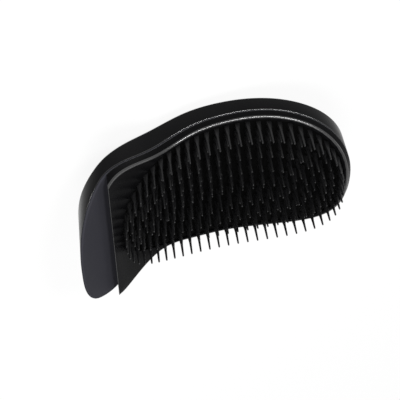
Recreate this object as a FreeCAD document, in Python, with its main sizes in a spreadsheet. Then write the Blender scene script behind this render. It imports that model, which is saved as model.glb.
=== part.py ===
import FreeCAD, Part
import math
import os
from FreeCAD import Base

doc = FreeCAD.newDocument("HairBrush")
sheet = doc.addObject("Spreadsheet::Sheet", "Sizes")

# The brush is drawn on a cylinder whose axis is the Y axis, above the part.
# "Along" is measured round the tooth bed from the point straight below that axis,
# positive towards the tip and negative towards the grip tail. Angles are in degrees.
sizes = [
    ("arch_radius", 87.0),
    ("tip_reach", 65.95),
    ("tail_reach", 81.7),
    ("head_half_width", 36.6),
    ("waist_half_width", 31.9),
    ("tail_half_width", 37.8),
    ("dome_radius", 96.0),
    ("body_depth", 21.5),
    ("rest_flat_depth", 0.6),
    ("shell_wall", 2.4),
    ("head_pocket_radius", 27.0),
    ("head_pocket_along", 30.0),
    ("mid_pocket_radius", 16.0),
    ("mid_pocket_along", -13.5),
    ("tail_pocket_radius", 14.0),
    ("tail_pocket_along", -50.5),
    ("shell_edge_round", 1.8),
    ("rim_height", 3.9),
    ("rim_lip", 0.7),
    ("rim_step", 0.8),
    ("rim_edge_round", 0.9),
    ("plate_thickness", 1.2),
    ("rim_end_along", 55.7),
    ("bed_margin", 1.9),
    ("fit_gap", 0.12),
    ("field_half_length", 57.0),
    ("field_half_width", 33.1),
    ("field_centre", 5.45),
    ("tooth_lean_angle", 14.03),
    ("ring_step", 4.4),
    ("tooth_pitch", 5.0),
    ("long_tooth", 14.3),
    ("long_tooth_end", 10.1),
    ("short_tooth", 7.8),
    ("root_radius", 1.2),
    ("neck_radius", 0.62),
    ("tip_radius", 0.42),
    ("long_flare", 6.0),
    ("short_flare", 4.6),
    ("overrun", 10.0),
]
for row, (alias, value) in enumerate(sizes, start=1):
    sheet.set("A%d" % row, alias)
    sheet.set("B%d" % row, str(value))
    sheet.setAlias("B%d" % row, alias)
doc.recompute()


def size(alias):
    return float(sheet.get(alias))


arch = size("arch_radius")
lean = math.radians(size("tooth_lean_angle"))
tooth_axis = Base.Vector(-math.sin(lean), 0, math.cos(lean))
draw_side = Base.Vector(math.cos(lean), 0, math.sin(lean))
dome_drop = arch + size("body_depth") - size("dome_radius")
floor_height = dome_drop + size("dome_radius") - size("rest_flat_depth")
side_reach = size("tail_half_width") + size("head_half_width")
field_egg_share = 0.107
field_fullness_share = 2.42

# Body outline from tip to tail on one side: how far along, as a share of the reach
# on that side, and the half width, as a share of the named width that it follows.
head_outline_shares = [
    (0.981, 0.314), (0.926, 0.544), (0.8165, 0.757), (0.633, 0.923), (0.358, 1.008), (0.083, 1.0),
]
waist_outline_shares = [(-0.119, 1.100), (-0.240, 1.030), (-0.343, 1.0)]
tail_outline_shares = [
    (-0.490, 0.910), (-0.610, 0.985), (-0.700, 1.0), (-0.785, 0.930), (-0.857, 0.820), (-0.918, 0.677),
    (-0.967, 0.476), (-0.994, 0.251),
]


def outline_side():
    tip, tail = size("tip_reach"), size("tail_reach")
    points = []
    for shares, width in (
        (head_outline_shares, size("head_half_width")),
        (waist_outline_shares, size("waist_half_width")),
        (tail_outline_shares, size("tail_half_width")),
    ):
        for along_share, width_share in shares:
            reach = tip if along_share > 0 else tail
            points.append((along_share * reach, width_share * width))
    return points


def body_outline():
    side = outline_side()
    ring = [(size("tip_reach"), 0.0)] + side + [(-size("tail_reach"), 0.0)]
    ring += [(along, -across) for along, across in reversed(side)]
    curve = Part.BSplineCurve()
    curve.interpolate(Points=[Base.Vector(a, b, 0) for a, b in ring], PeriodicFlag=True)
    return curve


def field_point(turn, inset):
    # one point of the tooth field's oval, drawn in by the inset
    power = 2.0 / field_fullness_share
    c, s = math.cos(turn), math.sin(turn)
    along_share = math.copysign(abs(c) ** power, c)
    across_share = math.copysign(abs(s) ** power, s)
    along = (size("field_half_length") - inset) * along_share
    across = (size("field_half_width") - inset) * (1 + field_egg_share * along_share) * across_share
    return size("field_centre") + along, across


def field_outline():
    turns = [2 * math.pi * i / field_samples for i in range(field_samples)]
    curve = Part.BSplineCurve()
    points = [Base.Vector(*field_point(turn, 0.0), 0) for turn in turns]
    curve.interpolate(Points=points, PeriodicFlag=True)
    return curve


field_samples = 48
wall_samples = 44


def moved_out(curve, distance):
    # points of a flat outline, shifted square to it; outlines run anticlockwise
    points = []
    first, last = curve.FirstParameter, curve.LastParameter
    for i in range(wall_samples):
        u = first + (last - first) * i / wall_samples
        point, run = curve.value(u), curve.tangent(u)[0]
        points.append((point.x + distance * run.y, point.y - distance * run.x))
    return points


def closed_wire(places, points):
    # a smooth closed wire through the places, paced by the flat outline's own spacing
    marks = [0.0]
    for i in range(len(points)):
        marks.append(marks[-1] + math.dist(points[i], points[(i + 1) % len(points)]))
    curve = Part.BSplineCurve()
    curve.interpolate(Points=places, PeriodicFlag=True, Parameters=marks)
    return Part.Wire([curve.toShape()])


def level_wire(points, depth):
    # where the radial lines through an outline meet the level plane at a depth below the axis
    return closed_wire([Base.Vector(depth * math.tan(a / arch), b, -depth) for a, b in points], points)


def straight_prism(name, curve, radius):
    # a solid whose walls run the way the teeth point and pass through the outline at a radius
    points = moved_out(curve, 0.0)
    places = [draw_side * (radius * math.sin(a / arch - lean)) + Base.Vector(0, b, 0) for a, b in points]
    wire = doc.addObject("Part::Feature", name + "Outline")
    wire.Shape = closed_wire(places, points)
    item = doc.addObject("Part::Extrusion", name)
    item.Base = wire
    item.DirMode = "Custom"
    item.Dir = -tooth_axis
    item.setExpression("LengthFwd", "Sizes.arch_radius + Sizes.body_depth + Sizes.overrun")
    item.Solid = True
    return item


def radial_prism(name, curve, distance):
    # a solid whose walls point at the axis and pass through the outline
    points = moved_out(curve, distance)
    sections = []
    for part, depth in (("Inner", upper_depth), ("Outer", lower_depth)):
        wire = doc.addObject("Part::Feature", name + part)
        wire.Shape = level_wire(points, depth)
        sections.append(wire)
    loft = doc.addObject("Part::Loft", name)
    loft.Sections = sections
    loft.Solid = True
    loft.Ruled = True
    return loft


def radial_tube(name, outside, out_by, inside, in_by):
    # a ring whose outer and inner walls both point at the axis
    outer, inner = moved_out(outside, out_by), moved_out(inside, in_by)
    wires = [[level_wire(points, depth) for depth in (upper_depth, lower_depth)] for points in (outer, inner)]
    faces = [Part.makeFace([wires[0][k], wires[1][k]], "Part::FaceMakerBullseye") for k in range(2)]
    faces += [Part.makeRuledSurface(low.Edges[0], high.Edges[0]) for low, high in wires]
    item = doc.addObject("Part::Feature", name)
    skin = Part.makeShell(faces)
    skin.sewShape()
    solid = Part.Solid(skin)
    if solid.Volume < 0:
        solid.reverse()
    item.Shape = solid
    return item


lowest_angle = size("tail_reach") / arch
upper_depth = arch * math.cos(lowest_angle) / 2
lower_depth = arch + size("body_depth") + size("overrun")


def cylinder(name, radius_text):
    item = doc.addObject("Part::Cylinder", name)
    item.setExpression("Radius", radius_text)
    item.setExpression("Height", "4 * (Sizes.tail_half_width + Sizes.head_half_width)")
    item.Placement = Base.Placement(
        Base.Vector(0, 2 * side_reach, 0), Base.Rotation(Base.Vector(1, 0, 0), 90))
    return item


def sphere(name, radius_text):
    item = doc.addObject("Part::Sphere", name)
    item.setExpression("Radius", radius_text)
    item.Placement = Base.Placement(Base.Vector(0, 0, -dome_drop), Base.Rotation())
    return item


def head_block(name, offset):
    # a block on the tip's side of a plane that runs the way the teeth point
    item = doc.addObject("Part::Box", name)
    for prop in ("Length", "Width", "Height"):
        item.setExpression(prop, "4 * (Sizes.arch_radius + Sizes.body_depth)")
    span = 4 * (arch + size("body_depth"))
    corner = Base.Vector(offset, -span / 2, -span / 2)
    turn = Base.Rotation(Base.Vector(0, 1, 0), -size("tooth_lean_angle"))
    item.Placement = Base.Placement(turn.multVec(corner), turn)
    return item


def common(name, *items):
    item = doc.addObject("Part::MultiCommon", name)
    item.Shapes = list(items)
    return item


def cut(name, base, tool):
    item = doc.addObject("Part::Cut", name)
    item.Base, item.Tool = base, tool
    return item


def edges_where(shape, test):
    return [i for i, edge in enumerate(shape.Edges, start=1) if test(edge)]


def radius_at(edge):
    middle = edge.valueAt((edge.FirstParameter + edge.LastParameter) / 2)
    return math.hypot(middle.x, middle.z)


def rounded(name, base, chosen, radius):
    item = doc.addObject("Part::Fillet", name)
    item.Base = base
    item.Edges = [(i, radius, radius) for i in chosen]
    return item


body_curve = body_outline()
field_curve = field_outline()
nodes = []


def finish(label, item):
    # one sub-part, set down so that the flat on its back is at height zero
    item.setExpression("Placement.Base.z", "Sizes.arch_radius + Sizes.body_depth - Sizes.rest_flat_depth")
    item.Label = label
    nodes.append(item)


# Back shell: the domed cover, with the grip tail in one piece and three pockets inside.
seam_text = "Sizes.arch_radius + Sizes.rim_height + Sizes.plate_thickness"
seam_radius = arch + size("rim_height") + size("plate_thickness")
shell_prism = straight_prism("ShellPrism", body_curve, seam_radius)
shell_block = common("ShellBlock", shell_prism, sphere("Dome", "Sizes.dome_radius"))
shell_cap = cut("ShellCap", shell_block, cylinder("SeamCylinder", seam_text))
doc.recompute()
dome_centre = Base.Vector(0, 0, -dome_drop)


def on_dome(edge):
    middle = edge.valueAt((edge.FirstParameter + edge.LastParameter) / 2)
    return abs((middle - dome_centre).Length - size("dome_radius")) < size("fit_gap")


shell = rounded("ShellRound", shell_cap, edges_where(shell_cap.Shape, on_dome), size("shell_edge_round"))
dome_inside = sphere("DomeInside", "Sizes.dome_radius - Sizes.shell_wall")
for pocket in ("head_pocket", "mid_pocket", "tail_pocket"):
    core = doc.addObject("Part::Cylinder", "Core_" + pocket)
    core.setExpression("Radius", "Sizes.%s_radius" % pocket)
    core.setExpression("Height", "Sizes.arch_radius + Sizes.body_depth")
    side = draw_side * (seam_radius * math.sin(size(pocket + "_along") / arch - lean))
    core.Placement = Base.Placement(side, Base.Rotation(Base.Vector(0, 0, 1), -tooth_axis))
    shell = cut("Shell_" + pocket, shell, common("Hollow_" + pocket, core, dome_inside))
rest_block = doc.addObject("Part::Box", "RestBlock")
for prop in ("Length", "Width"):
    rest_block.setExpression(prop, "4 * Sizes.tail_reach")
rest_block.setExpression("Height", "Sizes.overrun")
rest_block.Placement = Base.Placement(
    Base.Vector(-2 * size("tail_reach"), -2 * size("tail_reach"), -floor_height - size("overrun")),
    Base.Rotation())
shell = cut("ShellRest", shell, rest_block)

# Base plate: closes the shell from end to end; its tail is the smooth face of the grip.
rim_cylinder = cylinder("RimCylinder", "Sizes.arch_radius + Sizes.rim_height")
plate = cut(
    "Plate",
    common(
        "PlateBlock",
        radial_prism("PlatePrism", body_curve, 0.0),
        cylinder("PlateTop", seam_text + " - Sizes.fit_gap")),
    rim_cylinder,
)

# Rim: the wider ring round the tooth bed, square across at its tail end.
rim_face = arch - size("rim_lip")
rim_end = (arch + size("rim_height")) * math.sin(-size("rim_end_along") / arch - lean)
rim_tube = radial_tube(
    "RimTube", body_curve, size("rim_step"), field_curve, size("bed_margin") + size("fit_gap"))
rim_slab = cut(
    "RimSlab",
    common("RimBlock", rim_tube, cylinder("RimTop", "Sizes.arch_radius + Sizes.rim_height - Sizes.fit_gap"),
           head_block("HeadSide", rim_end)),
    cylinder("RimFace", "Sizes.arch_radius - Sizes.rim_lip"),
)
doc.recompute()


def on_outer_face(edge):
    # the rim's long outer edges at its face, not its straight end or the edge of its window
    middle = edge.valueAt((edge.FirstParameter + edge.LastParameter) / 2)
    along = arch * math.atan2(middle.x, -middle.z) - size("field_centre")
    length = size("field_half_length") + size("bed_margin") + size("fit_gap")
    width = size("field_half_width") + size("bed_margin") + size("fit_gap")
    egg = width * (1 + field_egg_share * along / length)
    spread = abs(along / length) ** field_fullness_share + abs(middle.y / egg) ** field_fullness_share
    outside = spread > 1 + size("rim_step") / width and middle.dot(draw_side) > rim_end + size("fit_gap")
    return outside and abs(radius_at(edge) - rim_face) < size("fit_gap")


rim = rounded("RimRound", rim_slab, edges_where(rim_slab.Shape, on_outer_face), size("rim_edge_round"))

# Tooth bed: the insert that carries the teeth, let into the rim and a lip lower than its face.
bed = cut(
    "Bed",
    common("BedBlock", radial_prism("BedPrism", field_curve, size("bed_margin")),
           cylinder("BedTop", "Sizes.arch_radius + Sizes.rim_height - Sizes.fit_gap")),
    cylinder("BedFace", "Sizes.arch_radius"),
)
doc.recompute()

finish("back_shell", shell)
finish("base_plate", plate)
finish("rim", rim)
finish("tooth_bed", bed)

# Teeth stand in rings that follow the field's oval, all parallel, long and short by turns.
tooth_turn = Base.Rotation(Base.Vector(0, 0, 1), tooth_axis)
steepest = math.tan(max(size("tail_reach"), size("tip_reach")) / arch)
root_depth = size("root_radius") * steepest + size("root_radius")


def tooth(length, flare):
    # a flared root that runs into the bed, a slim shaft and a round tip
    root, neck, tip = size("root_radius"), size("neck_radius"), size("tip_radius")
    spread = root + (root - neck) * root_depth / flare
    shoulder = length - tip
    cap = Part.Arc(Base.Vector(tip, 0, shoulder),
                   Base.Vector(tip * math.sqrt(0.5), 0, shoulder + tip * math.sqrt(0.5)),
                   Base.Vector(0, 0, length))
    corners = [Base.Vector(0, 0, -root_depth), Base.Vector(spread, 0, -root_depth),
               Base.Vector(neck, 0, flare), Base.Vector(tip, 0, shoulder)]
    edges = [Part.LineSegment(a, b).toShape() for a, b in zip(corners, corners[1:])]
    edges += [cap.toShape(), Part.LineSegment(Base.Vector(0, 0, length), corners[0]).toShape()]
    face = Part.Face(Part.Wire(edges))
    return face.revolve(Base.Vector(0, 0, 0), Base.Vector(0, 0, 1), 360)


def ring_places(ring):
    # evenly spaced points round one ring, shifted by half a pitch on every second ring
    inset = ring * size("ring_step")
    turns = [2 * math.pi * i / ring_samples for i in range(ring_samples + 1)]
    points = [field_point(turn, inset) for turn in turns]
    lengths = [0.0]
    for (a0, b0), (a1, b1) in zip(points, points[1:]):
        lengths.append(lengths[-1] + math.hypot(a1 - a0, b1 - b0))
    count = max(1, round(lengths[-1] / size("tooth_pitch")))
    places, k = [], 0
    for i in range(count):
        want = lengths[-1] * (i + 0.5 * (ring % 2)) / count
        while lengths[k + 1] < want:
            k += 1
        part = (want - lengths[k]) / (lengths[k + 1] - lengths[k])
        (a0, b0), (a1, b1) = points[k], points[k + 1]
        places.append((a0 + part * (a1 - a0), b0 + part * (b1 - b0)))
    return places


ring_samples = 720
ring_count = 1 + int(size("field_half_width") / size("ring_step"))
bed_face = Part.makeCylinder(arch, 4 * side_reach, Base.Vector(0, -2 * side_reach, 0), Base.Vector(0, 1, 0))
tooth_total = 0
for ring in range(ring_count):
    long_ring = ring % 2 == 0
    solids = []
    for along, across in ring_places(ring):
        along_share = (along - size("field_centre")) / size("field_half_length")
        if long_ring:
            shorter = (size("long_tooth") - size("long_tooth_end")) * along_share ** 2
            solid = tooth(size("long_tooth") - shorter, size("long_flare"))
        else:
            solid = tooth(size("short_tooth"), size("short_flare"))
        angle = along / arch
        foot = Base.Vector(arch * math.sin(angle), across, -arch * math.cos(angle))
        solid.Placement = Base.Placement(foot, tooth_turn)
        solids.append(solid.common(bed_face))
    tooth_total += len(solids)
    item = doc.addObject("Part::Feature", "TeethRing%d" % (ring + 1))
    item.Shape = Part.makeCompound([solid.Solids[0] for solid in solids])
    finish("%s_teeth_ring_%d" % ("long" if long_ring else "short", ring + 1), item)
doc.recompute()
print("teeth", tooth_total, "in", ring_count, "rings")

faults = [o.Name for o in doc.Objects if "Invalid" in o.State or "Error" in o.State]
for node in nodes:
    if node.Shape.isNull() or not node.Shape.isValid() or not node.Shape.Solids:
        faults.append(node.Label)
    print(node.Label, len(node.Shape.Solids), "solids, volume", round(node.Shape.Volume, 1))
if faults:
    raise RuntimeError("not built: " + ", ".join(faults))
os.makedirs("parts", exist_ok=True)
for node in nodes:
    node.Shape.exportStep(os.path.join("parts", node.Label + ".step"))
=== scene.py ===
import math

import bmesh
import bpy
import numpy as np
from mathutils import Matrix, Vector


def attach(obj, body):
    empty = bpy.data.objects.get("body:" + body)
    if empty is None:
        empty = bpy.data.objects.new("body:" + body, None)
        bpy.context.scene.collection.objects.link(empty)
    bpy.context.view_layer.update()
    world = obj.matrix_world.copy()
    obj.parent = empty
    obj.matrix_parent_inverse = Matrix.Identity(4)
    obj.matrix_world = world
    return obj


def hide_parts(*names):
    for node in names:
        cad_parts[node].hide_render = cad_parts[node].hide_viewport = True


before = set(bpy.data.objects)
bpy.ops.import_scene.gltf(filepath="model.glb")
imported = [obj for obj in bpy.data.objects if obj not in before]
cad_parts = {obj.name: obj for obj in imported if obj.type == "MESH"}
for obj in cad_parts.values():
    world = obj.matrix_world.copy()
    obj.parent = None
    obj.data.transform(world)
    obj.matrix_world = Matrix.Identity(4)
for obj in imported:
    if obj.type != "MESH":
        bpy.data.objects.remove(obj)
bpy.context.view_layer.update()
mm = 0.001
print("frame loaded:", len(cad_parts), "nodes")

# Sizes are in millimetres. "Along" runs round the tooth bed from the lowest point of the arch,
# positive to the tip; "across" is sideways; "depth" is measured from the bed's face into the back.
bodyShape = {
    "archRadius": 87.0,  # the bed's face lies on this cylinder, with its axis across the brush
    "floorHeight": 107.9,  # from that axis down to the flat on the back
    "lean": 14.03,  # degrees, the way the teeth and the shell's walls lean towards the grip
    "tipReach": 65.95,
    "tailReach": 81.7,
    "headHalfWidth": 36.6,
    "waistHalfWidth": 31.9,
    "tailHalfWidth": 37.8,
    # one side of the outline, as shares of a reach and of a half width
    "headShares": [
        (0.981, 0.314), (0.926, 0.544), (0.8165, 0.757),
        (0.633, 0.923), (0.358, 1.008), (0.083, 1.0),
    ],
    "waistShares": [(-0.119, 1.100), (-0.240, 1.030), (-0.343, 1.0)],
    "tailShares": [
        (-0.490, 0.910), (-0.610, 0.985), (-0.700, 1.0), (-0.785, 0.930),
        (-0.857, 0.820), (-0.918, 0.677), (-0.967, 0.476), (-0.994, 0.251),
    ],
    "stations": 260,  # points round each piece
    "samples": 4,  # of the smooth curve, for each of those points
}
fieldShape = {
    "halfLength": 57.0,
    "halfWidth": 33.1,
    "centre": 5.45,
    "eggShare": 0.107,  # wider towards the tip
    "fullness": 2.42,  # 2 is an ellipse, more is squarer
    "samples": 720,  # round an outline that gets evenly spaced points later
}
meshDetail = {
    "cornerSteps": 5,  # facets round a small edge
    "hiddenShares": [0.25, 0.5, 0.75],  # rings on a face that is never seen
    "mergeGap": 0.001,
    "sharpAngle": 50.0,  # degrees, past which an edge is shaded sharp
}


def place(along, across, depth):
    turn = along / bodyShape["archRadius"]
    reach = bodyShape["archRadius"] + depth
    high = bodyShape["floorHeight"] - reach * math.cos(turn)
    return Vector((reach * math.sin(turn), across, high)) * mm


def placeStraight(side, across, deep):
    # the same body seen down the teeth: "side" is square to them, "deep" runs into the back
    lean = math.radians(bodyShape["lean"])
    high = side * math.sin(lean) - deep * math.cos(lean) + bodyShape["floorHeight"]
    return Vector((side * math.cos(lean) + deep * math.sin(lean), across, high)) * mm


def closedSpline(points, count):
    # a smooth closed curve through the points, cut into dense samples
    knots = np.array(points + points[:1], float)
    gaps = np.linalg.norm(np.diff(knots, axis=0), axis=1)
    n = len(points)
    matrix, right = np.zeros((n, n)), np.zeros((n, 2))
    for i in range(n):
        before, after = gaps[i - 1], gaps[i]
        matrix[i, i - 1] += before
        matrix[i, i] += 2 * (before + after)
        matrix[i, (i + 1) % n] += after
        coming = (knots[i] - knots[(i - 1) % n]) / before
        going = (knots[i + 1] - knots[i]) / after
        right[i] = 6 * (going - coming)
    bends = np.linalg.solve(matrix, right)
    bends = np.vstack([bends, bends[:1]])
    samples = []
    for i in range(n):
        steps = max(2, round(count * gaps[i] / gaps.sum()))
        for k in range(steps):
            b = k / steps
            a = 1 - b
            curve = a * knots[i] + b * knots[i + 1]
            swell = (a**3 - a) * bends[i] + (b**3 - b) * bends[i + 1]
            samples.append(tuple(curve + swell * gaps[i] ** 2 / 6))
    return samples


def evenPoints(points, count, closed=True):
    # the same outline with evenly spaced points
    path = np.array(points + points[:1] if closed else points, float)
    run = np.concatenate([[0], np.cumsum(np.linalg.norm(np.diff(path, axis=0), axis=1))])
    want = np.linspace(0, run[-1], count, endpoint=not closed)
    return list(zip(np.interp(want, run, path[:, 0]), np.interp(want, run, path[:, 1])))


def movedOut(loop, distance):
    # each point shifted square to an anticlockwise outline, with true corners
    moved = []
    for i, point in enumerate(loop):
        here = Vector(point)
        before = (here - Vector(loop[i - 1])).normalized()
        after = (Vector(loop[(i + 1) % len(loop)]) - here).normalized()
        sides = [Vector((run.y, -run.x)) for run in (before, after)]
        moved.append(tuple(here + (sides[0] + sides[1]) * distance / (1 + sides[0].dot(sides[1]))))
    return moved


def bodyLoop(count):
    side = []
    for shares, width in (
        (bodyShape["headShares"], bodyShape["headHalfWidth"]),
        (bodyShape["waistShares"], bodyShape["waistHalfWidth"]),
        (bodyShape["tailShares"], bodyShape["tailHalfWidth"]),
    ):
        for alongShare, widthShare in shares:
            reach = bodyShape["tipReach"] if alongShare > 0 else bodyShape["tailReach"]
            side.append((alongShare * reach, widthShare * width))
    ring = [(bodyShape["tipReach"], 0.0)] + side + [(-bodyShape["tailReach"], 0.0)]
    ring += [(along, -across) for along, across in reversed(side)]
    return evenPoints(closedSpline(ring, bodyShape["samples"] * count), count)


def fieldLoop(inset, count):
    # the squarish egg that the teeth fill, drawn in by the inset
    power = 2 / fieldShape["fullness"]
    points = []
    for i in range(count):
        turn = 2 * math.pi * i / count
        alongShare, acrossShare = [
            math.copysign(abs(v) ** power, v) for v in (math.cos(turn), math.sin(turn))
        ]
        width = (fieldShape["halfWidth"] - inset) * (1 + fieldShape["eggShare"] * alongShare)
        along = fieldShape["centre"] + (fieldShape["halfLength"] - inset) * alongShare
        points.append((along, width * acrossShare))
    return points


def loopRing(loop, inset, depth):
    return [place(along, across, depth) for along, across in movedOut(loop, -inset)]


def shrunkRings(loop, centre, shares, depth):
    # rings drawn in towards a centre at one depth
    return [
        [place(centre + (along - centre) * share, across * share, depth) for along, across in loop]
        for share in shares
    ]


def cornerRings(loop, radius, depth, atBack):
    # a rounded edge, from the wall to the face or the back at the given depth
    side = 1 if atBack else -1
    steps = meshDetail["cornerSteps"]
    rings = []
    for k in range(steps + 1):
        turn = math.pi / 2 * k / steps
        inset, below = radius * (1 - math.cos(turn)), radius * (1 - math.sin(turn))
        rings.append(loopRing(loop, inset, depth - side * below))
    return rings


def slabRings(loop, centre, shape):
    # a plate on the arch, from the middle of its back round the edge to the middle of its face
    back, face = shape["backDepth"], shape["faceDepth"]
    backRound, faceRound = shape["backRound"], shape["faceRound"]
    faceShares = [1 - k / shape["faceRings"] for k in range(1, shape["faceRings"])]
    rings = [[place(centre, 0, back)]]
    rings += shrunkRings(movedOut(loop, -backRound), centre, meshDetail["hiddenShares"], back)
    rings += cornerRings(loop, backRound, back, atBack=True)[::-1]
    rings += cornerRings(loop, faceRound, face, atBack=False)
    rings += shrunkRings(movedOut(loop, -faceRound), centre, faceShares, face)
    rings.append([place(centre, 0, face)])
    return rings


def ringsToPiece(name, rings, looped=False, edges=()):
    # quads from each ring to the next; a ring of one point is a pole; "edges" are spans of rings
    # round an edge, which take the piece's second material
    verts, faces, starts, kinds = [], [], [], []
    for ring in rings:
        starts.append(len(verts))
        verts += ring
    pairs = list(zip(range(len(rings) - 1), range(1, len(rings))))
    if looped:
        pairs.append((len(rings) - 1, 0))
    for low, high in pairs:
        count = max(len(rings[low]), len(rings[high]))
        for i in range(count):
            j = (i + 1) % count
            lows = (i, j) if len(rings[low]) > 1 else (0,)
            highs = (j, i) if len(rings[high]) > 1 else (0,)
            faces.append([starts[low] + v for v in lows] + [starts[high] + v for v in highs])
            kinds.append(int(any(first <= low < last for first, last in edges)))
    mesh = bpy.data.meshes.new(name)
    mesh.from_pydata(verts, [], faces)
    mesh.polygons.foreach_set("material_index", kinds)
    work = bmesh.new()
    work.from_mesh(mesh)
    bmesh.ops.remove_doubles(work, verts=work.verts, dist=meshDetail["mergeGap"] * mm)
    bmesh.ops.recalc_face_normals(work, faces=work.faces)
    work.to_mesh(mesh)
    work.free()
    mesh.shade_smooth()
    mesh.set_sharp_from_angle(angle=math.radians(meshDetail["sharpAngle"]))
    piece = bpy.data.objects.new(name, mesh)
    bpy.context.scene.collection.objects.link(piece)
    return piece


def addNode(tree, kind, settings=None, inputs=None):
    # settings are the node's own; an input takes a value or a link from another node's output
    node = tree.nodes.new(kind)
    for key, value in (settings or {}).items():
        setattr(node, key, value)
    for key, value in (inputs or {}).items():
        if isinstance(value, bpy.types.NodeSocket):
            tree.links.new(value, node.inputs[key])
        else:
            node.inputs[key].default_value = value
    return node


def hexColour(text):
    # sRGB hex to linear
    channels = [int(text[i : i + 2], 16) / 255 for i in (1, 3, 5)]
    linear = [c / 12.92 if c <= 0.04045 else ((c + 0.055) / 1.055) ** 2.4 for c in channels]
    return (*linear, 1.0)


mouldFinish = {
    "patchDetail": 3.0,
    "patchRoughness": 0.6,
    "patchSpan": (0.3, 0.7),  # the noise between these is spread over a material's roughness
    "grainDetail": 2.0,
}


def plasticMaterial(look):
    # a moulded plastic: two near tones, faint rubbed patches and the mould's texture, which is
    # too fine for the render and is drawn several times coarser so that it shows
    material = bpy.data.materials.new(look["name"])
    material.use_nodes = True
    tree = material.node_tree
    shader = tree.nodes["Principled BSDF"]
    where = addNode(tree, "ShaderNodeTexCoord").outputs["Object"]
    patches = addNode(tree, "ShaderNodeTexNoise", {}, {
        "Vector": where,
        "Scale": 1 / (look["patchSize"] * mm),
        "Detail": mouldFinish["patchDetail"],
        "Roughness": mouldFinish["patchRoughness"],
    }).outputs["Fac"]
    grain = addNode(tree, "ShaderNodeTexNoise", {}, {
        "Vector": where,
        "Scale": 1 / (look["grainSize"] * mm),
        "Detail": mouldFinish["grainDetail"],
    }).outputs["Fac"]
    # the colours of a Mix node are its sockets 6, 7 and 2
    tone = addNode(tree, "ShaderNodeMix", {"data_type": "RGBA"}, {
        0: patches,
        6: hexColour(look["dark"]),
        7: hexColour(look["light"]),
    }).outputs[2]
    gloss = addNode(tree, "ShaderNodeMapRange", {}, {
        "Value": patches,
        "From Min": mouldFinish["patchSpan"][0],
        "From Max": mouldFinish["patchSpan"][1],
        "To Min": look["roughness"][0],
        "To Max": look["roughness"][1],
    }).outputs["Result"]
    bump = addNode(tree, "ShaderNodeBump", {}, {
        "Strength": look["bumpStrength"],
        "Distance": look["grainHeight"] * mm,
        "Height": grain,
    }).outputs["Normal"]
    tree.links.new(tone, shader.inputs["Base Color"])
    tree.links.new(gloss, shader.inputs["Roughness"])
    tree.links.new(bump, shader.inputs["Normal"])
    shader.inputs["IOR"].default_value = look["ior"]
    shader.inputs["Specular IOR Level"].default_value = look["specular"]
    return material


# ABS from a polished mould: near black, with a faint sheen where it turns to the light
shellPlastic = plasticMaterial({
    "name": "polishedBlackABS", "dark": "#070708", "light": "#0c0c0d",
    "roughness": (0.2, 0.28), "ior": 1.53, "specular": 0.042,
    "patchSize": 9.0, "grainSize": 0.7, "grainHeight": 0.01, "bumpStrength": 0.1,
})
# ABS from a mould with a fine spark finish: a softer black
basePlastic = plasticMaterial({
    "name": "satinBlackABS", "dark": "#060607", "light": "#0b0b0c",
    "roughness": (0.24, 0.32), "ior": 1.53, "specular": 0.015,
    "patchSize": 7.0, "grainSize": 0.5, "grainHeight": 0.012, "bumpStrength": 0.15,
})
# the same ABS where use has polished the edges: a thin bright line along them
rubbedPlastic = plasticMaterial({
    "name": "rubbedBlackABS", "dark": "#070708", "light": "#0c0c0d",
    "roughness": (0.22, 0.26), "ior": 1.53, "specular": 0.65,
    "patchSize": 7.0, "grainSize": 0.5, "grainHeight": 0.004, "bumpStrength": 0.03,
})
# black plastic with an even dark grey painted in as a painted reflection of the white surroundings,
# a little cold; matte, with little sheen of its own
gripPlastic = plasticMaterial({
    "name": "paintedReflectionGreyPlastic", "dark": "#2d2d32", "light": "#313136",
    "roughness": (0.6, 0.7), "ior": 1.5, "specular": 0.02,
    "patchSize": 8.0, "grainSize": 0.4, "grainHeight": 0.012, "bumpStrength": 0.15,
})
# matte nylon from a blasted mould; its black, darker than the other plastics, is painted shade, so
# the gaps between the teeth go black
bedPlastic = plasticMaterial({
    "name": "paintedShadeBlackNylon", "dark": "#020202", "light": "#040404",
    "roughness": (0.5, 0.6), "ior": 1.53, "specular": 0.02,
    "patchSize": 6.0, "grainSize": 0.6, "grainHeight": 0.01, "bumpStrength": 0.1,
})
# nylon, injected into long thin teeth: a waxy black with soft highlights
toothPlastic = plasticMaterial({
    "name": "mouldedBlackNylon", "dark": "#050506", "light": "#09090a",
    "roughness": (0.45, 0.55), "ior": 1.53, "specular": 0.3,
    "patchSize": 5.0, "grainSize": 0.6, "grainHeight": 0.01, "bumpStrength": 0.1,
})
print("materials made")


def dress(piece, materials, node):
    for material in materials:
        if material.name not in piece.data.materials:
            piece.data.materials.append(material)
    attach(piece, "root")
    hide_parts(node)


shellShape = {
    "seamDepth": 5.1,  # where the shell meets the base plate
    "seamRound": 0.35,
    "seamRings": 24,  # enough that the face under the plate stays clear of it
    "seamSteps": 5,
    "edgeRound": 1.8,
    "edgeSteps": 8,
    "domeRadius": 96.0,
    "domeDrop": 12.5,  # from the arch's axis down to the dome's centre
    "domeRings": 22,
}


def seamDeep(side):
    # the face that the base plate lies on, seen down the teeth
    return math.sqrt((bodyShape["archRadius"] + shellShape["seamDepth"]) ** 2 - side**2)


def domeDeep(side, across):
    # the back of the shell, part of a ball, seen the same way
    lean, drop = math.radians(bodyShape["lean"]), shellShape["domeDrop"]
    inside = shellShape["domeRadius"] ** 2 - across**2 - (side + drop * math.sin(lean)) ** 2
    return drop * math.cos(lean) + math.sqrt(inside)


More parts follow.
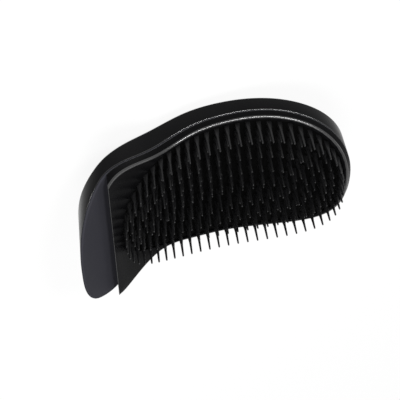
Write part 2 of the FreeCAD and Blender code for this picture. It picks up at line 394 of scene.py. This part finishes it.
def makeBackShell():
    lean = math.radians(bodyShape["lean"])
    reach = bodyShape["archRadius"] + shellShape["seamDepth"]
    loop = [
        (reach * math.sin(along / bodyShape["archRadius"] - lean), across)
        for along, across in bodyLoop(bodyShape["stations"])
    ]

    # the face under the base plate and the rounded edge of the seam
    seamRound, seamRings = shellShape["seamRound"], shellShape["seamRings"]
    rings = [[placeStraight(0, 0, seamDeep(0))]]
    for share in [k / seamRings for k in range(1, seamRings)]:
        rings.append([placeStraight(s * share, a * share, seamDeep(s * share)) for s, a in loop])
    seamStart = len(rings)
    for k in range(shellShape["seamSteps"] + 1):
        turn = math.pi / 2 * (1 - k / shellShape["seamSteps"])
        lift = seamRound * (1 - math.sin(turn))
        ring = movedOut(loop, -seamRound * (1 - math.cos(turn)))
        rings.append([placeStraight(s, a, seamDeep(s) + lift) for s, a in ring])
    seamEnd = len(rings) - 1

    # the wall's rounded edge: the dome's slope square to the outline gives its arc
    radius = shellShape["edgeRound"]
    nudge = radius / 2
    inner = movedOut(loop, -nudge)
    bends = []
    for outside, inside in zip(loop, inner):
        edge = domeDeep(*outside)
        slope = (domeDeep(*inside) - edge) / nudge
        stretch = math.hypot(1, slope)
        bends.append((edge + radius * (slope - stretch), math.atan2(1, -slope)))
    for k in range(shellShape["edgeSteps"] + 1):
        ring, last = [], []
        for i, (middle, end) in enumerate(bends):
            turn = math.pi + (end - math.pi) * k / shellShape["edgeSteps"]
            share = radius * (1 + math.cos(turn)) / nudge
            side = loop[i][0] + (inner[i][0] - loop[i][0]) * share
            across = loop[i][1] + (inner[i][1] - loop[i][1]) * share
            last.append((side, across))
            ring.append(placeStraight(side, across, middle + radius * math.sin(turn)))
        rings.append(ring)

    # the dome, from that edge to the round flat on which the brush lies
    low = bodyShape["floorHeight"]
    flat = math.sqrt(shellShape["domeRadius"] ** 2 - (low - shellShape["domeDrop"]) ** 2)
    middle = -low * math.sin(lean)
    turns = [math.atan2(across, side - middle) for side, across in last]
    for k in range(1, shellShape["domeRings"] + 1):
        t = k / shellShape["domeRings"]
        ring = []
        for (side, across), turn in zip(last, turns):
            target = middle + flat * math.cos(turn) * math.cos(lean)
            spot = side + (target - side) * t, across + (flat * math.sin(turn) - across) * t
            ring.append(placeStraight(*spot, domeDeep(*spot)))
        rings.append(ring)
    circle = [Vector((math.cos(turn), math.sin(turn), 0)) for turn in turns]
    rings.append([spoke * (flat / 2 * mm) for spoke in circle])
    rings.append([Vector((0, 0, 0))])
    piece = ringsToPiece("backShell", rings, edges=[(seamStart, seamEnd)])
    dress(piece, [shellPlastic, rubbedPlastic], "back_shell")


plateShape = {
    "faceDepth": 3.9,
    "backDepth": 4.98,
    "faceRound": 0.4,
    "backRound": 0.25,
    "faceRings": 14,
}


def makeBasePlate():
    # the plate takes the grip plastic, whose grey is painted reflection
    piece = ringsToPiece("basePlate", slabRings(bodyLoop(bodyShape["stations"]), 0, plateShape))
    dress(piece, [gripPlastic], "base_plate")


rimShape = {
    "step": 0.71,  # how far the rim stands out from the shell
    "faceDepth": -0.7,  # the rim's face stands a lip above the bed
    "backDepth": 3.78,
    "faceRound": 0.9,
    "backRound": 0.25,
    "cornerSteps": 7,
    "endAlong": -55.7,  # the straight end towards the grip, at the plate's face
    "endRound": 0.25,
    "endPoints": 40,
    "faceShares": [0.33, 0.66, 1.0],  # rings on the face, from the outline to the window
    "windowMargin": 2.02,  # from the outer teeth to the window's edge
    "windowRound": 0.2,
    "windowShares": [0.3, 0.7, 1.0],  # rings round the window's edge
    "samples": 1040,  # round the outline and the window before they are cut
}


def arcInset(radius, height):
    # how far a rounded edge is drawn in at a height below its face
    rest = max(0.0, radius - height)
    return radius - math.sqrt(radius**2 - rest**2)


def rimLoop(depth):
    # the wider outline at one depth, cut straight across towards the grip by a wall that leans
    # like the teeth
    arch, lean = bodyShape["archRadius"], math.radians(bodyShape["lean"])
    below, above = depth - rimShape["faceDepth"], rimShape["backDepth"] - depth
    inset = arcInset(rimShape["faceRound"], below) + arcInset(rimShape["backRound"], above)
    wide = movedOut(bodyLoop(rimShape["samples"]), rimShape["step"] - inset)
    wall = (arch + plateShape["faceDepth"]) * math.sin(rimShape["endAlong"] / arch - lean)
    wall += arcInset(rimShape["endRound"], below) + arcInset(rimShape["endRound"], above)
    end = arch * (math.asin(wall / (arch + depth)) + lean)
    kept = [p for p in wide if p[0] > end]
    # start after the widest gap, which the cut left
    first = max(range(len(kept)), key=lambda i: math.dist(kept[i], kept[i - 1]))
    kept = kept[first:] + kept[:first]
    kept = [(end, kept[0][1])] + kept + [(end, kept[-1][1])]
    arc = evenPoints(kept, bodyShape["stations"], closed=False)
    top, low = arc[-1][1], arc[0][1]
    count = rimShape["endPoints"]
    return arc + [(end, top + (low - top) * k / count) for k in range(1, count)]


def makeRim():
    face, back = rimShape["faceDepth"], rimShape["backDepth"]
    window = movedOut(fieldLoop(0.0, rimShape["samples"]), rimShape["windowMargin"])
    centre = fieldShape["centre"]
    turns = np.unwrap([math.atan2(across, along - centre) for along, across in window])
    sizes = [math.hypot(along - centre, across) for along, across in window]

    def windowLoop(loop, wider):
        # the window's edge, with a point in the direction of each one of the loop
        hole = []
        for along, across in loop:
            turn = math.atan2(across, along - centre) % (2 * math.pi)
            size = np.interp(turn, turns, sizes, period=2 * math.pi) + wider
            hole.append((centre + size * math.cos(turn), size * math.sin(turn)))
        return hole

    steps = rimShape["cornerSteps"]
    bends = [math.pi / 2 * k / steps for k in range(steps + 1)]
    depths = [back - rimShape["backRound"] * (1 - math.cos(turn)) for turn in bends]
    depths += [face + rimShape["faceRound"] * (1 - math.sin(turn)) for turn in bends]
    rings = []
    for depth in depths:
        outer = rimLoop(depth)
        rings.append([place(along, across, depth) for along, across in outer])
    edges = [(0, steps), (steps + 1, 2 * steps + 1)]

    lip = rimShape["windowRound"]
    spans = list(zip(outer, windowLoop(outer, lip)))
    for t in rimShape["faceShares"]:
        rings.append([place(a + (c - a) * t, b + (d - b) * t, face) for (a, b), (c, d) in spans])
    for share in rimShape["windowShares"]:
        turn = math.pi / 2 * share
        hole = windowLoop(outer, lip * (1 - math.sin(turn)))
        rings.append([place(a, b, face + lip * (1 - math.cos(turn))) for a, b in hole])
    rings.append([place(a, b, back) for a, b in hole])
    piece = ringsToPiece("rimRing", rings, looped=True, edges=edges)
    dress(piece, [basePlastic, rubbedPlastic], "rim")


bedShape = {
    "margin": 1.9,  # from the outer teeth to the bed's edge
    "faceDepth": 0.0,
    "backDepth": 3.78,
    "faceRound": 0.2,
    "backRound": 0.2,
    "faceRings": 16,
    "stations": 200,
}


def makeToothBed():
    edge = movedOut(fieldLoop(0.0, fieldShape["samples"]), bedShape["margin"])
    loop = evenPoints(edge, bedShape["stations"])
    piece = ringsToPiece("toothBed", slabRings(loop, fieldShape["centre"], bedShape))
    # the bed's extra dark black is painted shade for the gaps between the teeth
    dress(piece, [bedPlastic], "tooth_bed")


makeBackShell()
makeBasePlate()
makeRim()
makeToothBed()
print("shell, plate, rim and bed made")

toothShape = {
    "pitch": 5.0,
    "ringStep": 4.4,
    "rings": 8,
    "longLength": 14.3,
    "longEndLength": 10.1,  # long teeth get shorter to the ends of the field
    "shortLength": 7.8,
    "longFlare": 6.0,
    "shortFlare": 4.6,
    "rootRadius": 1.2,
    "neckRadius": 0.62,
    "tipRadius": 0.42,
    "rootSink": 1.5,  # how far the root runs into the bed
    "squareness": 0.9,  # of the foot: 0 is round, 1 is square
    "sides": 8,
    "crease": 55.0,  # degrees, past which an edge of a tooth is sharp
    "weldGap": 0.005,
}


def toothTree():
    # a flat ring of teeth, bent onto the arch
    tree = bpy.data.node_groups.new("toothRing", "GeometryNodeTree")
    sockets = [("Ring", "Geometry"), ("Tooth Count", "Int"), ("Half Step", "Int")]
    sockets += [(name, "Float") for name in (
        "Arch Radius", "Floor Height", "Field Centre", "Field Half Length", "Lean",
        "Length", "End Length", "Flare", "Root Radius", "Neck Radius", "Tip Radius",
        "Root Sink", "Squareness", "Crease", "Weld Gap",
    )]
    sockets += [("Sides", "Int"), ("Plastic", "Material")]
    for name, kind in sockets:
        tree.interface.new_socket(name, in_out="INPUT", socket_type="NodeSocket" + kind)
    tree.interface.new_socket("Teeth", in_out="OUTPUT", socket_type="NodeSocketGeometry")
    given = addNode(tree, "NodeGroupInput").outputs

    spot = addNode(tree, "GeometryNodeInputPosition").outputs[0]
    parts = addNode(tree, "ShaderNodeSeparateXYZ", {}, {0: spot}).outputs
    known = {name: given[name] for name, kind in sockets}
    known.update({"x": parts["X"], "y": parts["Y"], "z": parts["Z"]})
    known["index"] = addNode(tree, "GeometryNodeInputIndex").outputs[0]
    known["edgeAngle"] = addNode(tree, "GeometryNodeInputMeshEdgeAngle").outputs["Unsigned Angle"]

    # the sums: a name, what is done, and the numbers or earlier names it is done to
    for name, operation, *values in (
        # twice the places round the ring, then every second one, so that rings can be staggered
        ("places", "MULTIPLY", "Tooth Count", 2),
        ("odd", "MODULO", "index", 2),
        # what a tooth loses grows with the square of its way to the field's end
        ("offCentre", "SUBTRACT", "x", "Field Centre"),
        ("endShare", "DIVIDE", "offCentre", "Field Half Length"),
        ("endSquare", "MULTIPLY", "endShare", "endShare"),
        ("endLoss", "SUBTRACT", "Length", "End Length"),
        ("shorter", "MULTIPLY", "endLoss", "endSquare"),
        # a place on the arch
        ("turn", "DIVIDE", "x", "Arch Radius"),
        ("turnSine", "SINE", "turn"),
        ("turnCosine", "COSINE", "turn"),
        ("archAlong", "MULTIPLY", "Arch Radius", "turnSine"),
        ("archDrop", "MULTIPLY", "Arch Radius", "turnCosine"),
        ("archHigh", "SUBTRACT", "Floor Height", "archDrop"),
        # levels, radii and heights of a tooth's cones
        ("taper", "SUBTRACT", "Root Radius", "Neck Radius"),
        ("slope", "DIVIDE", "taper", "Flare"),
        ("spread", "MULTIPLY", "slope", "Root Sink"),
        ("footRadius", "ADD", "Root Radius", "spread"),
        ("foot", "MULTIPLY", "Root Sink", -1),
        ("shoulder", "SUBTRACT", "Length", "Tip Radius"),
        ("crownRadius", "MULTIPLY", "Tip Radius", math.sqrt(0.5)),  # half way round the tip
        ("crown", "ADD", "shoulder", "crownRadius"),
        ("flareHeight", "SUBTRACT", "Flare", "foot"),
        ("shaftHeight", "SUBTRACT", "shoulder", "Flare"),
        ("crownHeight", "SUBTRACT", "crown", "shoulder"),
        ("tipHeight", "SUBTRACT", "Length", "crown"),
        # the foot is nearly square and the shaft round, so the flare shows flat faces
        ("isFoot", "LESS_THAN", "z", 0.0),
        ("xSize", "ABSOLUTE", "x"),
        ("ySize", "ABSOLUTE", "y"),
        ("reach", "MAXIMUM", "xSize", "ySize"),
        ("toSquare", "DIVIDE", "footRadius", "reach"),
        ("wider", "POWER", "toSquare", "Squareness"),
        ("cornerX", "MULTIPLY", "x", "wider"),
        ("cornerY", "MULTIPLY", "y", "wider"),
        # the lean, and the way down a leaning tooth
        ("tilt", "MULTIPLY", "Lean", -1),
        ("downX", "SINE", "Lean"),
        ("leanCosine", "COSINE", "Lean"),
        ("downZ", "MULTIPLY", "leanCosine", -1),
        ("isSharp", "GREATER_THAN", "edgeAngle", "Crease"),
    ):
        inputs = {i: known.get(value, value) for i, value in enumerate(values)}
        known[name] = addNode(tree, "ShaderNodeMath", {"operation": operation}, inputs).outputs[0]

    path = addNode(tree, "GeometryNodeMeshToCurve", {}, {"Mesh": given["Ring"]})
    doubled = addNode(tree, "GeometryNodeResampleCurve", {}, {
        "Curve": path.outputs[0],
        "Count": known["places"],
    })
    spots = addNode(tree, "GeometryNodeCurveToPoints", {"mode": "EVALUATED"}, {
        "Curve": doubled.outputs[0],
    })
    other = addNode(tree, "FunctionNodeCompare", {"data_type": "FLOAT", "operation": "NOT_EQUAL"}, {
        "A": known["odd"],
        "B": given["Half Step"],
    })
    chosen = addNode(tree, "GeometryNodeDeleteGeometry", {"domain": "POINT"}, {
        "Geometry": spots.outputs["Points"],
        "Selection": other.outputs[0],
    })
    onPoints = {"data_type": "FLOAT", "domain": "POINT"}
    marked = addNode(tree, "GeometryNodeStoreNamedAttribute", onPoints, {
        "Geometry": chosen.outputs[0],
        "Name": "shorter",
        "Value": known["shorter"],
    })
    onArch = addNode(tree, "ShaderNodeCombineXYZ", {}, {
        "X": known["archAlong"],
        "Y": known["y"],
        "Z": known["archHigh"],
    })
    bent = addNode(tree, "GeometryNodeSetPosition", {}, {
        "Geometry": marked.outputs[0],
        "Position": onArch.outputs[0],
    })

    # one tooth: a flared root, a slim shaft and a round tip, stacked from four short cones
    stack = addNode(tree, "GeometryNodeJoinGeometry")
    for low, wide, narrow, height in (
        ("foot", "footRadius", "Neck Radius", "flareHeight"),
        ("Flare", "Neck Radius", "Tip Radius", "shaftHeight"),
        ("shoulder", "Tip Radius", "crownRadius", "crownHeight"),
        ("crown", "crownRadius", 0.0, "tipHeight"),
    ):
        cone = addNode(tree, "GeometryNodeMeshCone", {"fill_type": "NONE"}, {
            "Vertices": given["Sides"],
            "Radius Top": known.get(narrow, narrow),
            "Radius Bottom": known[wide],
            "Depth": known[height],
        })
        lift = addNode(tree, "ShaderNodeCombineXYZ", {}, {"Z": known[low]})
        raised = addNode(tree, "GeometryNodeTransform", {}, {
            "Geometry": cone.outputs["Mesh"],
            "Translation": lift.outputs[0],
        })
        tree.links.new(raised.outputs[0], stack.inputs[0])
    # a flat disc, turned over, closes the root inside the bed
    disc = addNode(tree, "GeometryNodeMeshCircle", {"fill_type": "NGON"}, {
        "Vertices": given["Sides"],
        "Radius": known["footRadius"],
    })
    sunk = addNode(tree, "ShaderNodeCombineXYZ", {}, {"Z": known["foot"]})
    sole = addNode(tree, "GeometryNodeTransform", {}, {
        "Geometry": disc.outputs[0],
        "Translation": sunk.outputs[0],
        "Rotation": (math.pi, 0, 0),
    })
    tree.links.new(sole.outputs[0], stack.inputs[0])
    welded = addNode(tree, "GeometryNodeMergeByDistance", {}, {
        "Geometry": stack.outputs[0],
        "Distance": given["Weld Gap"],
    })
    corner = addNode(tree, "ShaderNodeCombineXYZ", {}, {
        "X": known["cornerX"],
        "Y": known["cornerY"],
        "Z": known["z"],
    })
    squared = addNode(tree, "GeometryNodeSetPosition", {}, {
        "Geometry": welded.outputs[0],
        "Selection": known["isFoot"],
        "Position": corner.outputs[0],
    })
    tooth = addNode(tree, "GeometryNodeStoreNamedAttribute", onPoints, {
        "Geometry": squared.outputs[0],
        "Name": "level",
        "Value": known["z"],
    })

    # teeth stand parallel on the bed; those near the ends lose length from the shaft only
    tilted = addNode(tree, "ShaderNodeCombineXYZ", {}, {"Y": known["tilt"]})
    leaning = addNode(tree, "FunctionNodeEulerToRotation", {}, {0: tilted.outputs[0]})
    stood = addNode(tree, "GeometryNodeInstanceOnPoints", {}, {
        "Points": bent.outputs[0],
        "Instance": tooth.outputs[0],
        "Rotation": leaning.outputs[0],
    })
    real = addNode(tree, "GeometryNodeRealizeInstances", {}, {"Geometry": stood.outputs[0]})
    level, shorter = [
        addNode(tree, "GeometryNodeInputNamedAttribute", {"data_type": "FLOAT"}, {"Name": name})
        for name in ("level", "shorter")
    ]
    loss = addNode(tree, "ShaderNodeMapRange", {}, {
        "Value": level.outputs[0],
        "From Min": given["Flare"],
        "From Max": known["shoulder"],
        "To Max": shorter.outputs[0],
    })
    down = addNode(tree, "ShaderNodeCombineXYZ", {}, {"X": known["downX"], "Z": known["downZ"]})
    drawn = addNode(tree, "ShaderNodeVectorMath", {"operation": "SCALE"}, {
        0: down.outputs[0],
        "Scale": loss.outputs["Result"],
    })
    cut = addNode(tree, "GeometryNodeSetPosition", {}, {
        "Geometry": real.outputs[0],
        "Offset": drawn.outputs[0],
    })
    smooth = addNode(tree, "GeometryNodeSetShadeSmooth", {}, {"Geometry": cut.outputs[0]})
    creased = addNode(tree, "GeometryNodeSetShadeSmooth", {"domain": "EDGE"}, {
        "Geometry": smooth.outputs[0],
        "Selection": known["isSharp"],
        "Shade Smooth": False,
    })
    plastic = addNode(tree, "GeometryNodeSetMaterial", {}, {
        "Geometry": creased.outputs[0],
        "Material": given["Plastic"],
    })
    addNode(tree, "NodeGroupOutput", {}, {"Teeth": plastic.outputs[0]})
    return tree


def makeToothRing(tree, ring):
    long = ring % 2 == 0
    kind = "long" if long else "short"
    outline = fieldLoop(ring * toothShape["ringStep"], fieldShape["samples"])
    girth = sum(math.dist(outline[i - 1], outline[i]) for i in range(len(outline)))
    mesh = bpy.data.meshes.new("ringPath")
    edges = [(i, (i + 1) % len(outline)) for i in range(len(outline))]
    mesh.from_pydata([(along * mm, across * mm, 0) for along, across in outline], edges, [])
    path = bpy.data.objects.new("ringPath", mesh)
    bpy.context.scene.collection.objects.link(path)
    values = {
        "Tooth Count": max(1, round(girth / toothShape["pitch"])),
        "Half Step": ring % 2,
        "Arch Radius": bodyShape["archRadius"] * mm,
        "Floor Height": bodyShape["floorHeight"] * mm,
        "Field Centre": fieldShape["centre"] * mm,
        "Field Half Length": fieldShape["halfLength"] * mm,
        "Lean": math.radians(bodyShape["lean"]),
        "Length": toothShape[kind + "Length"] * mm,
        "End Length": toothShape["longEndLength" if long else "shortLength"] * mm,
        "Flare": toothShape[kind + "Flare"] * mm,
        "Root Radius": toothShape["rootRadius"] * mm,
        "Neck Radius": toothShape["neckRadius"] * mm,
        "Tip Radius": toothShape["tipRadius"] * mm,
        "Root Sink": toothShape["rootSink"] * mm,
        "Squareness": toothShape["squareness"],
        "Crease": math.radians(toothShape["crease"]),
        "Weld Gap": toothShape["weldGap"] * mm,
        "Sides": toothShape["sides"],
        "Plastic": toothPlastic,
    }
    modifier = path.modifiers.new("toothRing", "NODES")
    modifier.node_group = tree
    for item in tree.interface.items_tree:
        if item.in_out == "INPUT" and item.name in values:
            modifier[item.identifier] = values[item.name]
    bpy.context.view_layer.update()
    evaluated = path.evaluated_get(bpy.context.evaluated_depsgraph_get())
    solid = bpy.data.meshes.new_from_object(evaluated)
    bpy.data.objects.remove(path)
    name = "%sTeethRing%d" % (kind, ring + 1)
    for extra in ("level", "shorter"):
        solid.attributes.remove(solid.attributes[extra])
    solid.name = name
    piece = bpy.data.objects.new(name, solid)
    bpy.context.scene.collection.objects.link(piece)
    dress(piece, [toothPlastic], "%s_teeth_ring_%d" % (kind, ring + 1))
    return values["Tooth Count"]


tree = toothTree()
toothTotal = sum(makeToothRing(tree, ring) for ring in range(toothShape["rings"]))
print("teeth made:", toothTotal)

studio = {
    "floorSize": 6.0,  # metres
    "floorColour": "#e8e8e8",
    "white": "#ffffff",
    "whiteShare": 0.9,  # how much of the floor's look is plain white
    "worldStrength": 0.4,
    "lamps": [  # name, place in metres, width and height, power in watts
        ("keyLamp", (0.11, 0.84, 0.83), (0.24, 0.24), 9.0),
        ("sideLamp", (1.1, 0.1, 0.5), (0.5, 0.5), 1.0),
        ("gripLamp", (-0.45, 0.3, 1.1), (0.5, 0.5), 11.0),
    ],
}


def whiteForViews(tree):
    # 1 where the camera, a mirror or glass looks at the stage
    path = addNode(tree, "ShaderNodeLightPath").outputs
    seen = path["Is Camera Ray"]
    for ray in ("Is Glossy Ray", "Is Transmission Ray"):
        inputs = {0: seen, 1: path[ray]}
        seen = addNode(tree, "ShaderNodeMath", {"operation": "MAXIMUM"}, inputs).outputs[0]
    return seen


def makeFloor():
    half = studio["floorSize"] / 2
    corners = [(-half, -half, 0), (half, -half, 0), (half, half, 0), (-half, half, 0)]
    mesh = bpy.data.meshes.new("floor")
    mesh.from_pydata(corners, [], [(0, 1, 2, 3)])
    floor = bpy.data.objects.new("floor", mesh)
    bpy.context.scene.collection.objects.link(floor)
    material = bpy.data.materials.new("paleStudioFloor")
    material.use_nodes = True
    tree = material.node_tree
    tree.nodes.clear()
    pale = addNode(tree, "ShaderNodeBsdfDiffuse", {}, {"Color": hexColour(studio["floorColour"])})
    white = addNode(tree, "ShaderNodeEmission", {}, {"Color": hexColour(studio["white"])})
    share = addNode(tree, "ShaderNodeMath", {"operation": "MULTIPLY"}, {
        0: whiteForViews(tree),
        1: studio["whiteShare"],
    })
    mixed = addNode(tree, "ShaderNodeMixShader", {}, {
        0: share.outputs[0],
        1: pale.outputs[0],
        2: white.outputs[0],
    })
    addNode(tree, "ShaderNodeOutputMaterial", {}, {"Surface": mixed.outputs[0]})
    mesh.materials.append(material)


def makeWorld():
    world = bpy.data.worlds.new("studio")
    bpy.context.scene.world = world
    world.use_nodes = True
    tree = world.node_tree
    tree.nodes.clear()
    # a soft light on the brush, plain white where the stage itself is seen
    soft, white = [
        addNode(tree, "ShaderNodeBackground", {}, {
            "Color": hexColour(studio["white"]),
            "Strength": strength,
        })
        for strength in (studio["worldStrength"], 1.0)
    ]
    mixed = addNode(tree, "ShaderNodeMixShader", {}, {
        0: whiteForViews(tree),
        1: soft.outputs[0],
        2: white.outputs[0],
    })
    addNode(tree, "ShaderNodeOutputWorld", {}, {"Surface": mixed.outputs[0]})


def makeLamp(name, spot, size, power):
    lamp = bpy.data.lights.new(name, "AREA")
    lamp.shape = "ELLIPSE"
    lamp.size, lamp.size_y = size
    lamp.energy = power
    item = bpy.data.objects.new(name, lamp)
    item.location = spot
    item.rotation_euler = Vector(spot).to_track_quat("Z", "Y").to_euler()
    bpy.context.scene.collection.objects.link(item)


makeFloor()
makeWorld()
for lamp in studio["lamps"]:
    makeLamp(*lamp)
bpy.context.scene.view_settings.view_transform = "Standard"

# the view of the photograph: from above the teeth, turned over, with the grip to the lower left
view = {
    "place": (-122.8, 344.4, 332.6),
    "right": (0.93392, -0.00711, 0.35742),
    "up": (0.26529, 0.68397, -0.67957),
    "back": (-0.23964, 0.72948, 0.64066),
    "lens": 90.0,
    "sensor": 36.0,
    "nearest": 10.0,  # nothing closer to the camera is drawn
}
eye = bpy.data.cameras.new("photoCamera")
eye.lens = view["lens"]
eye.sensor_width = view["sensor"]
eye.clip_start = view["nearest"] * mm
camera = bpy.data.objects.new("photoCamera", eye)
turned = Matrix([view["right"], view["up"], view["back"]]).transposed()
camera.matrix_world = Matrix.Translation(Vector(view["place"]) * mm) @ turned.to_4x4()
bpy.context.scene.collection.objects.link(camera)
bpy.context.scene.camera = camera
print("stage and camera set")
